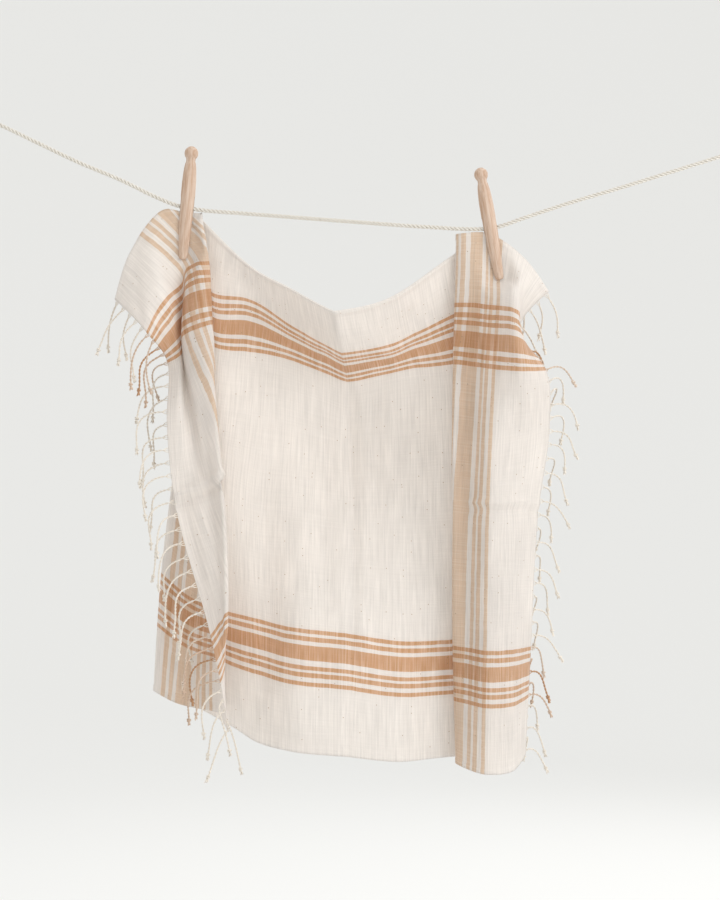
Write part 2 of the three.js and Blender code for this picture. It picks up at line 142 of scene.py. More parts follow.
def cotton_yarn(name, colours, hair_length=0.004, hair_width=0.0003):
    """Spun cotton, matt with a soft bloom: light and dark fibres run along the yarn."""
    material, tree, shader = new_material(name)
    place = add_node(tree, "ShaderNodeUVMap", uv_map="UVMap")
    spread = add_node(tree, "ShaderNodeVectorMath", {
        0: place.outputs["UV"],
        1: (1 / hair_length, 1 / hair_width, 1),
    }, operation="MULTIPLY")
    fibres = add_node(tree, "ShaderNodeTexNoise", {
        "Vector": spread.outputs["Vector"],
        "Scale": 1.0,
        "Detail": 4.0,
        "Roughness": 0.6,
    })
    ramp = add_node(tree, "ShaderNodeValToRGB", {"Fac": fibres.outputs["Fac"]})
    ramp.color_ramp.elements[0].position = 0.3
    ramp.color_ramp.elements[0].color = linear(colours[0])
    ramp.color_ramp.elements[1].position = 0.65
    ramp.color_ramp.elements[1].color = linear(colours[1])
    bump = add_node(tree, "ShaderNodeBump", {
        "Height": fibres.outputs["Fac"],
        "Strength": 0.6,
        "Distance": 0.0002,
    })
    tree.links.new(ramp.outputs["Color"], shader.inputs["Base Color"])
    tree.links.new(bump.outputs["Normal"], shader.inputs["Normal"])
    shader.inputs["Roughness"].default_value = 0.9
    shader.inputs["Sheen Weight"].default_value = 0.25
    shader.inputs["Sheen Roughness"].default_value = 0.6
    return material


def twisted_cord_tree():
    """Nodes that lay up a number of plies along each line of edges and smooth the result."""
    tree = bpy.data.node_groups.new("twisted cord", "GeometryNodeTree")
    tree.is_modifier = True
    sockets = [
        ("Geometry", "NodeSocketGeometry"), ("Plies", "NodeSocketInt"),
        ("Ply radius", "NodeSocketFloat"), ("Ply offset", "NodeSocketFloat"),
        ("Lay length", "NodeSocketFloat"), ("Sides", "NodeSocketInt"),
        ("Step", "NodeSocketFloat"), ("Material", "NodeSocketMaterial"),
    ]
    for name, kind in sockets:
        tree.interface.new_socket(name, in_out="INPUT", socket_type=kind)
    tree.interface.new_socket("Geometry", in_out="OUTPUT", socket_type="NodeSocketGeometry")
    given = add_node(tree, "NodeGroupInput").outputs
    path = add_node(tree, "GeometryNodeMeshToCurve", {"Mesh": given["Geometry"]})
    even = add_node(tree, "GeometryNodeResampleCurve", {
        "Curve": path.outputs["Curve"],
        "Length": given["Step"],
    }, mode="LENGTH")
    along = add_node(tree, "GeometryNodeSplineParameter")
    turns = add_node(tree, "ShaderNodeMath", {
        0: along.outputs["Length"],
        1: given["Lay length"],
    }, operation="DIVIDE")
    tilt = add_node(tree, "ShaderNodeMath", {
        0: turns.outputs[0],
        1: 2 * math.pi,
    }, operation="MULTIPLY")
    kept = add_node(tree, "GeometryNodeCaptureAttribute", {"Geometry": even.outputs["Curve"]})
    kept.capture_items.new("FLOAT", "Length")
    tree.links.new(along.outputs["Length"], kept.inputs["Length"])
    laid = add_node(tree, "GeometryNodeSetCurveTilt", {
        "Curve": kept.outputs["Geometry"],
        "Tilt": tilt.outputs[0],
    })
    order = add_node(tree, "GeometryNodeInputIndex")
    angle = add_node(tree, "ShaderNodeMath", {
        0: order.outputs["Index"],
        1: given["Plies"],
    }, operation="DIVIDE")
    turn = add_node(tree, "ShaderNodeMath", {
        0: angle.outputs[0],
        1: 2 * math.pi,
    }, operation="MULTIPLY")
    spot = []
    for operation in ("COSINE", "SINE"):
        wave = add_node(tree, "ShaderNodeMath", {0: turn.outputs[0]}, operation=operation)
        spot.append(add_node(tree, "ShaderNodeMath", {
            0: wave.outputs[0],
            1: given["Ply offset"],
        }, operation="MULTIPLY"))
    centre = add_node(tree, "ShaderNodeCombineXYZ", {
        "X": spot[0].outputs[0],
        "Y": spot[1].outputs[0],
    })
    centres = add_node(tree, "GeometryNodePoints", {
        "Count": given["Plies"],
        "Position": centre.outputs["Vector"],
    })
    circle = add_node(tree, "GeometryNodeCurvePrimitiveCircle", {
        "Resolution": given["Sides"],
        "Radius": given["Ply radius"],
    })
    ring = add_node(tree, "GeometryNodeInstanceOnPoints", {
        "Points": centres.outputs["Points"],
        "Instance": circle.outputs["Curve"],
    })
    section = add_node(tree, "GeometryNodeRealizeInstances", {
        "Geometry": ring.outputs["Instances"],
    })
    around = add_node(tree, "GeometryNodeSplineParameter")
    kept_around = add_node(tree, "GeometryNodeCaptureAttribute", {
        "Geometry": section.outputs["Geometry"],
    })
    kept_around.capture_items.new("FLOAT", "Around")
    tree.links.new(around.outputs["Length"], kept_around.inputs["Around"])
    body = add_node(tree, "GeometryNodeCurveToMesh", {
        "Curve": laid.outputs["Curve"],
        "Profile Curve": kept_around.outputs["Geometry"],
        "Fill Caps": True,
    })
    place = add_node(tree, "ShaderNodeCombineXYZ", {
        "X": kept.outputs["Length"],
        "Y": kept_around.outputs["Around"],
    })
    mapped = add_node(tree, "GeometryNodeStoreNamedAttribute", {
        "Geometry": body.outputs["Mesh"],
        "Name": "UVMap",
        "Value": place.outputs["Vector"],
    }, data_type="FLOAT2", domain="CORNER")
    smooth = add_node(tree, "GeometryNodeSetShadeSmooth", {"Geometry": mapped.outputs["Geometry"]})
    real = add_node(tree, "GeometryNodeRealizeInstances", {"Geometry": smooth.outputs["Geometry"]})
    finished = add_node(tree, "GeometryNodeSetMaterial", {
        "Geometry": real.outputs["Geometry"],
        "Material": given["Material"],
    })
    add_node(tree, "NodeGroupOutput", {"Geometry": finished.outputs["Geometry"]})
    return tree


CORD_TREE = twisted_cord_tree()


def path_mesh(name, paths, dyes=None):
    """A mesh of bare edges along each path, given in millimetres, with the dye of each path."""
    corners = []
    edges = []
    values = []
    for path, dye in zip(paths, dyes or [0] * len(paths)):
        first = len(corners)
        corners.extend((np.asarray(path) * MM).tolist())
        edges.extend((i, i + 1) for i in range(first, len(corners) - 1))
        values.extend([float(dye)] * len(path))
    mesh = bpy.data.meshes.new(name)
    mesh.from_pydata(corners, edges, [])
    mesh.attributes.new("dye", "FLOAT", "POINT").data.foreach_set("value", values)
    return mesh


def through_nodes(name, mesh, tree, inputs):
    """A new object with the plain mesh that a tree of nodes makes from the given mesh."""
    draft = bpy.data.objects.new(name + " draft", mesh)
    bpy.context.collection.objects.link(draft)
    nodes = draft.modifiers.new("nodes", "NODES")
    nodes.node_group = tree
    for item in tree.interface.items_tree:
        if item.in_out == "INPUT" and item.name in inputs:
            nodes[item.identifier] = inputs[item.name]
    evaluated = draft.evaluated_get(bpy.context.evaluated_depsgraph_get())
    result = bpy.data.meshes.new_from_object(evaluated)
    result.name = name
    bpy.data.objects.remove(draft)
    piece = bpy.data.objects.new(name, result)
    bpy.context.collection.objects.link(piece)
    return piece


def twisted_cord(name, paths, diameter, plies, lay, sides, step, material, dyes=None):
    """Cords along the paths, each of touching plies within the diameter."""
    share = 1 / math.sin(math.pi / plies) if plies > 1 else 0
    ply_radius = diameter / 2 / (1 + share)
    return through_nodes(name, path_mesh(name, paths, dyes), CORD_TREE, {
        "Plies": plies,
        "Ply radius": ply_radius * MM,
        "Ply offset": ply_radius * share * MM,
        "Lay length": lay * MM,
        "Sides": sides,
        "Step": step * MM,
        "Material": material,
    })


rope_cotton = cotton_yarn("rope cotton, laid", ("#cfc8bc", "#f4f0e8"))
line_path = smooth_route(LINE_ROUTE, LINE_STEP) / MM
line = twisted_cord("line_rope", [line_path], LINE_DIAMETER, LINE_PLIES, LINE_LAY, PLY_SIDES,
                    LINE_PITCH, rope_cotton)
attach(line, "root")
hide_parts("line")


# The stopper knots: at each end the rope goes three times round itself and its tail runs on.
# They are drawn tight against the eyes that hold the line.
KNOT_WRAPS = 3
KNOT_RADIUS = 3.9              # from the knot's middle to the middle of the wrapped rope
KNOT_LEAD = 2.0                # along the rope before the wraps begin
KNOT_TAIL = (3, 6, 9, 13)      # the points of the tail, past the wraps
KNOT_PITCH = 0.86              # between wraps, as a share of the rope's diameter
KNOT_TURN_POINTS = 24
KNOT_OPENING = 0.5             # of a wrap, in which the rope reaches its distance from the middle
KNOT_START = 0.3
KNOT_ROPE_PITCH = 1


def knot_path(end, inner):
    """The rope's middle through a knot at the end of the line, from the line to the tail's tip."""
    away = (end - inner) / np.linalg.norm(end - inner)
    side = np.array([0, 1, 0])
    up = np.cross(away, side)
    turns = np.linspace(0, KNOT_WRAPS + 1, KNOT_TURN_POINTS * (KNOT_WRAPS + 1) + 1)
    open_share = np.clip(np.minimum(turns, KNOT_WRAPS + 1 - turns) / KNOT_OPENING, 0, 1)
    radius = KNOT_RADIUS * open_share * open_share * (3 - 2 * open_share)
    length = KNOT_LEAD + turns * LINE_DIAMETER * KNOT_PITCH
    angle = 2 * math.pi * turns
    wraps = [
        end + away * reach + (side * math.cos(a) + up * math.sin(a)) * r
        for reach, a, r in zip(length, angle, radius)
    ]
    tail = [end + away * (length[-1] + reach) for reach in KNOT_TAIL]
    return [end + away * KNOT_START] + wraps + tail


for name, order in (("line_knot_left", (0, 1)), ("line_knot_right", (-1, -2))):
    end, inner = (np.array(LINE_ROUTE[i]) / MM for i in order)
    knot = twisted_cord(name + "_rope", [knot_path(end, inner)], LINE_DIAMETER, LINE_PLIES,
                        LINE_LAY, PLY_SIDES, KNOT_ROPE_PITCH, rope_cotton)
    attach(knot, "root")
    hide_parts(name)
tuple(LINE_ROUTE[0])


# The towel: one handwoven cotton cloth of slubby yarn, 642 mm between its fringed ends and 508 mm
# between its narrow hems. It hangs sideways from the pegs, pleated at each, and sags between them.
CLOTH_LENGTH = 642
CLOTH_WIDTH = 508
CLOTH_THICKNESS = 1
HEM_WIDTH = 5
HEM_THICKNESS = 1.8
CLOTH_PITCH = 3.3              # between the points of the modelled sheet
LEVELS = [0, 64, 121, 180, 254, 387, 508]    # below the upper hem, measured on the cloth

# Lines down the cloth. At each level: the distance from the left fringed end on the cloth, and how
# far right, back and up it hangs. A turn is a fold that brings the cloth back over that depth.
FOLD_LINES = [
    dict(name="left end", cloth=[0, 0, 0, 0, 0, 0, 0],
         right=[130, 163, 180, 181, 188, 223, 239],
         back=[12, -26, 8, -14, -22, -34, -22],
         up=[-173, -206, -234, -288, -357, -486, -577]),
    dict(name="left flap", cloth=[62, 40, 18, 15, 15, 7, 8],
         right=[153, 181, 191, 193, 199, 227, 238],
         back=[5, -14, 1, -16, -20, -35, -18],
         up=[-114, -172, -229, -287, -355, -481, -575.5]),
    dict(name="left flap valley", cloth=[101, 60, 40, 33, 24, 12, 18],
         right=[180, 194, 193, 201, 208, 231, 236],
         back=[1, 4, 15, -8, -20, -36, -12],
         up=[-88.5, -157, -221, -282, -353, -475, -572.5]),
    dict(name="left strip crest", cloth=[116, 72, 60, 54, 40, 17, 28],
         right=[193, 198, 195.5, 211, 221, 235, 233],
         back=[-1.5, -3, -9, -18, -20, -38, -6],
         up=[-91, -146, -211, -276, -349, -471, -569]),
    dict(name="left front fold", turn=4, cloth=[134, 102, 92, 73, 57, 24, 40],
         right=[212, 218, 222, 226, 233, 238, 230],
         back=[-3, -5, -11, -18, -24, -38, 4],
         up=[-93, -139, -200, -261, -341, -464, -563]),
    dict(name="left rear layer", cloth=[141, 124, 118, 110, 110, 110, 110],
         right=[210.5, 214, 209, 206, 201, 190, 180.5],
         back=[3, 9, 9, 10, 17, 19, 20],
         up=[-93, -141, -199, -258, -328, -447, -552]),
    dict(name="left rear fold", turn=4, cloth=[148, 140, 136, 133, 132, 132, 132],
         right=[207, 208, 200, 193, 186, 172, 164.5],
         back=[8, 13, 20, 26, 30, 32, 34],
         up=[-93, -140, -195, -254, -317, -432, -544]),
    dict(name="panel start", cloth=[163, 177, 189, 197, 206, 210, 216],
         right=[216, 222, 228, 231, 234, 237, 244],
         back=[6, 9, 12, 16, 20, 24, 28],
         up=[-102, -167, -221, -279, -347, -469, -581]),
    dict(name="panel sag", cloth=[210, 210, 215, 222, 230, 232, 234],
         right=[256, 254, 254, 256, 256, 258, 261],
         back=[-2, 12, 24, 30, 30, 20, 22],
         up=[-141, -172, -223, -283, -358, -474, -591]),
    dict(name="panel left of the crease", cloth=[265, 265, 265, 265, 265, 265, 265],
         right=[295, 299, 295, 294, 291, 292, 292],
         back=[-14, 14, 36, 50, 40, 12, 6],
         up=[-164, -199, -230, -290, -363, -482, -598]),
    dict(name="middle crease", crease=True, cloth=[321, 321, 321, 321, 321, 321, 321],
         right=[337, 344, 349, 348, 349, 347, 346],
         back=[-46, -4, 42, 62, 44, 6, 0],
         up=[-188, -224, -251, -303, -371, -488, -603]),
    dict(name="panel right of the crease", cloth=[377, 377, 377, 377, 377, 377, 377],
         right=[384, 393, 400, 402, 403, 403, 402],
         back=[-24, 10, 34, 46, 36, 10, 4],
         up=[-176, -214, -240, -300, -371, -496, -608]),
    dict(name="panel end", cloth=[455, 443, 430, 426, 424, 421, 421],
         right=[449, 449, 449, 449, 449, 449, 451],
         back=[10, 18, 22, 24, 24, 18, 16],
         up=[-131, -187, -235, -296, -369, -495, -605]),
    dict(name="right rear fold", turn=-4, cloth=[488, 485, 482, 480, 480, 480, 480],
         right=[473, 485, 497, 501, 505, 507, 507],
         back=[20, 24, 26, 28, 28, 26, 26],
         up=[-114, -172, -225, -291, -361, -492, -607]),
    dict(name="right front fold", turn=-4, cloth=[520, 521, 528, 531, 535, 538, 539],
         right=[452, 450.5, 449, 448, 448, 448.5, 451.5],
         back=[8, 8, 6, 4, 3, 2, 2],
         up=[-112, -177, -236, -302, -368, -499, -609]),
    dict(name="right strip", cloth=[546, 546, 546, 546, 550, 553.6, 553.6],
         right=[472, 469.7, 465.5, 461.5, 460.6, 459.6, 457.5],
         back=[-1, -4, 2, 2, 0, -5, -8],
         up=[-110.5, -178, -238, -303.5, -369.5, -500, -611.5]),
    dict(name="right flap", cloth=[560, 562, 570, 575, 579, 579, 579],
         right=[480.5, 479.5, 481, 481, 481.5, 479, 477],
         back=[-1, -14, -16, -20, -20, -21, -24],
         up=[-111, -180, -241, -306, -371, -502, -616]),
    dict(name="right flap bulge", cloth=[602, 602, 606, 608, 610, 610, 610],
         right=[514.5, 504.5, 508, 510, 507, 503, 502],
         back=[4, -36, -36, -10, -6, -8, -10],
         up=[-134, -186, -244, -302, -371, -502, -615]),
    dict(name="right end", cloth=[642, 642, 642, 642, 642, 642, 642],
         right=[539, 510, 535, 539.5, 530, 522.5, 518],
         back=[8, -4, -12, 8, 16, 16, 26],
         up=[-166, -204, -242, -294, -370, -501, -604]),
]
TURN_REACH = 0.4               # cloth on each side of a fold line, as a share of its turn

# Where the pegs hold the cloth, it lies flat between their legs.
PEG_BELOW_LINE = 49
PEGS = [
    dict(name="peg_left", right=198.6, up=-87.6, lean=4.6, reach=(0, 133)),
    dict(name="peg_right", right=483.5, up=-107, lean=-10, reach=(530, CLOTH_LENGTH)),
]
GRIP_HALF_WIDTH = 7
GRIP_FADE = 15


def smooth_step(value):
    """From 0 to 1 with soft ends."""
    t = np.clip(value, 0, 1)
    return t * t * (3 - 2 * t)


def grip_at(cloth_place, right, up):
    """How firmly the pegs flatten the cloth at a point, from 0 to 1."""
    grip = np.zeros_like(right)
    for peg in PEGS:
        lean = math.radians(peg["lean"])
        to_right = right - peg["right"]
        to_up = up - peg["up"]
        beside = np.abs(to_right * math.cos(lean) - to_up * math.sin(lean)) - GRIP_HALF_WIDTH
        below = -(to_right * math.sin(lean) + to_up * math.cos(lean)) - PEG_BELOW_LINE
        away = np.hypot(np.maximum(beside, 0), np.maximum(below, 0))
        held = (cloth_place >= peg["reach"][0]) & (cloth_place <= peg["reach"][1])
        grip = np.maximum(grip, np.where(held, 1 - smooth_step(away / GRIP_FADE), 0))
    return grip


def section_at(level):
    """The cloth's section at a level: where its fold lines are, and its points at any places."""
    places = []
    spots = []
    creases = []
    for fold in FOLD_LINES:
        columns = [fold[column] for column in ("cloth", "right", "back", "up")]
        cloth, right, back, up = (float(curve_through(LEVELS, column)(level)) for column in columns)
        if fold.get("crease"):
            creases.append(len(places))
        turn = fold.get("turn", 0)
        for side in (-1, 1) if turn else (0,):
            places.append(cloth + side * TURN_REACH * abs(turn))
            spots.append((right, back + side * turn / 2, up))
    across = [curve_through(places, [spot[axis] for spot in spots], creases) for axis in range(3)]

    def points_at(where):
        where = np.asarray(where, float)
        right, back, up = (curve(where) for curve in across)
        back = back * (1 - grip_at(where, right, up))
        return np.stack([right, back, up], axis=-1)

    return np.array(places), points_at


def cloth_rows():
    """The levels of the rows of the sheet, with the step from the hem to the cloth at each side."""
    inner = HEM_WIDTH + 1
    count = round((CLOTH_WIDTH - 2 * inner) / CLOTH_PITCH)
    middle = np.linspace(inner, CLOTH_WIDTH - inner, count + 1)
    hem = [0, HEM_WIDTH / 2, HEM_WIDTH]
    return np.concatenate([hem, middle, [CLOTH_WIDTH - level for level in reversed(hem)]])


def cloth_grid():
    """The points of the cloth's middle surface and the place of each on the cloth."""
    rows = cloth_rows()
    sections = [section_at(level) for level in rows]
    lines = np.array([places for places, _ in sections])
    widest = np.diff(lines, axis=1).max(axis=0)
    steps = np.maximum(3, np.ceil(widest / CLOTH_PITCH)).astype(int)
    shares = [i + np.arange(count) / count for i, count in enumerate(steps)]
    shares = np.concatenate(shares + [[len(steps)]])
    points = []
    places = []
    for (fold_places, points_at), level in zip(sections, rows):
        where = np.interp(shares, np.arange(len(fold_places)), fold_places)
        points.append(points_at(where))
        places.append(np.stack([where, np.full_like(where, level)], axis=-1))
    return np.array(points), np.array(places)


def grid_normals(points):
    """The way the cloth faces at each point of a grid, towards the viewer where it hangs flat."""
    down = np.gradient(points, axis=0)
    across = np.gradient(points, axis=1)
    normals = np.cross(down, across)
    return normals / np.linalg.norm(normals, axis=-1, keepdims=True)


# The creases that show: the towel was folded in four for the shelf, and it bunches at the pegs.
# Each line runs over the cloth from place to place, right of the left fringed end and below the
# upper hem. The cloth's front rises along it, or sinks where the rise is below zero.
CREASES = [
    dict(line=[(74, 250), (50, 250), (31, 250), (15, 253), (-8, 258)], width=4, rise=3.4),
    dict(line=[(74, 261), (50, 260), (31, 260), (15, 263), (-8, 268)], width=4.5, rise=-3.0),
    dict(line=[(542, 248), (573, 246), (603, 246), (650, 252)], width=3, rise=1.8),
    dict(line=[(542, 257), (573, 255), (603, 255), (650, 261)], width=4.5, rise=-1.4),
    dict(line=[(300, 255), (360, 251), (400, 250), (470, 252)], width=3, rise=-0.7),
    dict(line=[(321, 110), (324, 165), (326, 270), (328, 395), (322, 520)], width=5, rise=-1.5),
    dict(line=[(334, 130), (340, 180), (341, 240), (338, 330), (335, 420)], width=7, rise=1.2),
    dict(line=[(236, 130), (240, 200), (246, 300), (248, 400), (240, 470)], width=13, rise=-2.6),
    dict(line=[(268, 110), (274, 200), (278, 300), (280, 400), (276, 500)], width=15, rise=2.0),
    dict(line=[(300, 60), (303, 160), (300, 260), (305, 380)], width=10, rise=-1.2),
    dict(line=[(372, 60), (366, 160), (364, 280), (370, 400), (368, 520)], width=14, rise=1.6),
    dict(line=[(402, 20), (396, 130), (398, 250), (394, 380), (398, 520)], width=12, rise=-1.6),
    dict(line=[(121, 4), (112, 30), (104, 50), (98, 80), (90, 120), (82, 170)],
         width=3.2, rise=1.7),
    dict(line=[(113, 8), (103, 34), (96, 56), (90, 90), (82, 130)], width=3, rise=-1.3),
    dict(line=[(104, 14), (95, 36), (88, 60), (80, 95)], width=3.2, rise=1.3),
    dict(line=[(94, 18), (86, 42), (78, 70)], width=3.5, rise=-1.2),
    dict(line=[(78, 2), (56, 26), (36, 60), (18, 96)], width=8, rise=1.6),
    dict(line=[(66, -6), (40, 12), (16, 34), (-6, 60)], width=8, rise=-1.4),
    dict(line=[(64, 120), (44, 160), (34, 210), (30, 245)], width=9, rise=-1.8),
    dict(line=[(62, 268), (46, 310), (30, 360), (20, 420)], width=8, rise=1.4),
    dict(line=[(576, 22), (590, 38), (603, 56), (612, 76)], width=6, rise=1.4),
    dict(line=[(600, 8), (614, 26), (626, 48), (636, 72)], width=8, rise=-1.3),
    dict(line=[(598, 100), (602, 160), (598, 235)], width=10, rise=-1.4),
    dict(line=[(612, 262), (606, 330), (610, 420), (606, 520)], width=11, rise=1.5),
    dict(line=[(590, 265), (586, 330), (590, 410)], width=8, rise=-1.0),
]
CREASE_FADE = 16               # length over which a crease dies away at each end
CREASE_STEP = 3


def crease_rise(places):
    """How far the creases lift each point of the cloth."""
    rise = np.zeros(places.shape[:2])
    for crease in CREASES:
        route = [(across, below, 0) for across, below in crease["line"]]
        line = smooth_route(route, CREASE_STEP)[:, :2]
        apart = np.linalg.norm(places[:, :, None, :] - line, axis=-1)
        nearest = apart.argmin(axis=-1)
        to_end = np.minimum(nearest, len(line) - 1 - nearest) * CREASE_STEP
        height = np.exp(-(apart.min(axis=-1) / crease["width"]) ** 2)
        rise += crease["rise"] * height * smooth_step(to_end / CREASE_FADE)
    return rise


def sheet_mesh(name, points, places, thickness):
    """A closed sheet around the grid, with the place on the cloth as its UV map."""
    rows, columns = points.shape[:2]
    normals = grid_normals(points)
    half = normals * thickness[:, None, None] / 2
    corners = np.concatenate([(points - half).reshape(-1, 3), (points + half).reshape(-1, 3)])
    index = np.arange(rows * columns).reshape(rows, columns)
    rear = np.stack([index[:-1, :-1], index[:-1, 1:], index[1:, 1:], index[1:, :-1]], axis=-1)
    rear = rear.reshape(-1, 4)
    front = rear[:, ::-1] + rows * columns
    rim = np.concatenate([index[0, :], index[1:, -1], index[-1, -2::-1], index[-2:0:-1, 0]])
    after = np.roll(rim, -1)
    edge = np.stack([rim, rim + rows * columns, after + rows * columns, after], axis=-1)
    faces = np.concatenate([rear, front, edge])
    mesh = bpy.data.meshes.new(name)
    mesh.from_pydata((corners * MM).tolist(), [], faces.tolist())
    uv = mesh.uv_layers.new(name="UVMap")
    shares = places.reshape(-1, 2) / (CLOTH_LENGTH, CLOTH_WIDTH)
    uv.data.foreach_set("uv", np.concatenate([shares, shares])[faces.ravel()].ravel())
    mesh.polygons.foreach_set("use_smooth", [True] * len(mesh.polygons))
    mesh.update()
    return mesh


# Handwoven cotton of slubby yarn, matt: cream, with tan yarn in bands along all four edges. The
# cream yarn across a band lightens it, and tan over tan is darkest. A few seed flecks are left in.
CREAM = "#f7f2ed"
TAN_LEVEL = "#e6be97"          # what the dyed yarn that runs from end to end takes off the cream
TAN_UPRIGHT = "#f3e1cd"        # what the dyed yarn that runs from hem to hem takes off it
FLECK = "#b99f84"
BANDS = [(63, 67.2), (72.1, 76.3), (79.1, 83.1), (88.4, 103.2), (107.6, 111.8), (115.1, 119.3)]
BAND_REACH = 130
LOWER_BANDS_IN = 2             # how much further from its hem the lower set of bands lies
TRANSLUCENCY = 0.4             # thin cloth lets this share of the light through
THREAD_WIDTH = 1.5             # real threads are about 0.8 mm wide, drawn coarser to show
SLUB_LENGTH = 45               # of a thick or thin part of a thread
THICK_YARN = (130, 5)          # length and width of a run of thicker threads
CLOUD = (60, 30)               # length and width of a lighter or darker patch
RELIEF = (9, 0.8)              # length and width of a raised piece of thread
BAND_WANDER = 0.001            # how far a band's edge strays, as a share of the cloth's sides
FLECK_PITCH = 8
FLECK_SIZE = 0.05              # as a share of the pitch
PLAIN_SHARE = 0.9              # of the places for a fleck, how many have none


def band_mask(tree, share, length, late=0):
    """White where the distance from the nearer edge lies in a band, for a place as a share of the
    length. The bands of the far edge lie further in by the late millimetres."""
    far = add_node(tree, "ShaderNodeMath", {0: 1 - late / length, 1: share}, operation="SUBTRACT")
    near = add_node(tree, "ShaderNodeMath", {0: share, 1: far.outputs[0]}, operation="MINIMUM")
    reach = add_node(tree, "ShaderNodeMath", {
        0: near.outputs[0],
        1: length / BAND_REACH,
    }, operation="MULTIPLY")
    ramp = add_node(tree, "ShaderNodeValToRGB", {"Fac": reach.outputs[0]})
    ramp.color_ramp.interpolation = "CONSTANT"
    stops = ramp.color_ramp.elements
    stops[0].color = (0, 0, 0, 1)
    stops.remove(stops[1])
    for start, end in BANDS:
        stops.new(start / BAND_REACH).color = (1, 1, 1, 1)
        stops.new(end / BAND_REACH).color = (0, 0, 0, 1)
    return ramp.outputs["Color"]


def streaks(tree, place, along, across, detail=2.0):
    """Uneven yarn: noise drawn out along the thread, its sizes in millimetres on the cloth."""
    drawn = add_node(tree, "ShaderNodeVectorMath", {
        0: place,
        1: (CLOTH_LENGTH / across, CLOTH_WIDTH / along, 1),
    }, operation="MULTIPLY")
    noise = add_node(tree, "ShaderNodeTexNoise", {
        "Vector": drawn.outputs["Vector"],
        "Scale": 1.0,
        "Detail": detail,
        "Roughness": 0.55,
    })
    return noise.outputs["Fac"]


def yarn_cover(tree, band, across, least):
    """How much of a band its dyed yarn covers: the least where the yarn across it is thickest."""
    shown = add_node(tree, "ShaderNodeMapRange", {
        "Value": across,
        "From Min": 0.42,
        "From Max": 0.68,
        "To Min": 1.0,
        "To Max": least,
    })
    return add_node(tree, "ShaderNodeMath", {
        0: band,
        1: shown.outputs["Result"],
    }, operation="MULTIPLY").outputs[0]


def dyed(tree, share, colour, under):
    """The colour under a dye that covers a share of it."""
    tint = add_node(tree, "ShaderNodeMix", {
        "Factor": share,
        "A": (1, 1, 1, 1),
        "B": linear(colour),
    }, data_type="RGBA")
    return add_node(tree, "ShaderNodeMix", {
        "Factor": 1.0,
        "A": under,
        "B": tint.outputs["Result"],
    }, data_type="RGBA", blend_type="MULTIPLY").outputs["Result"]


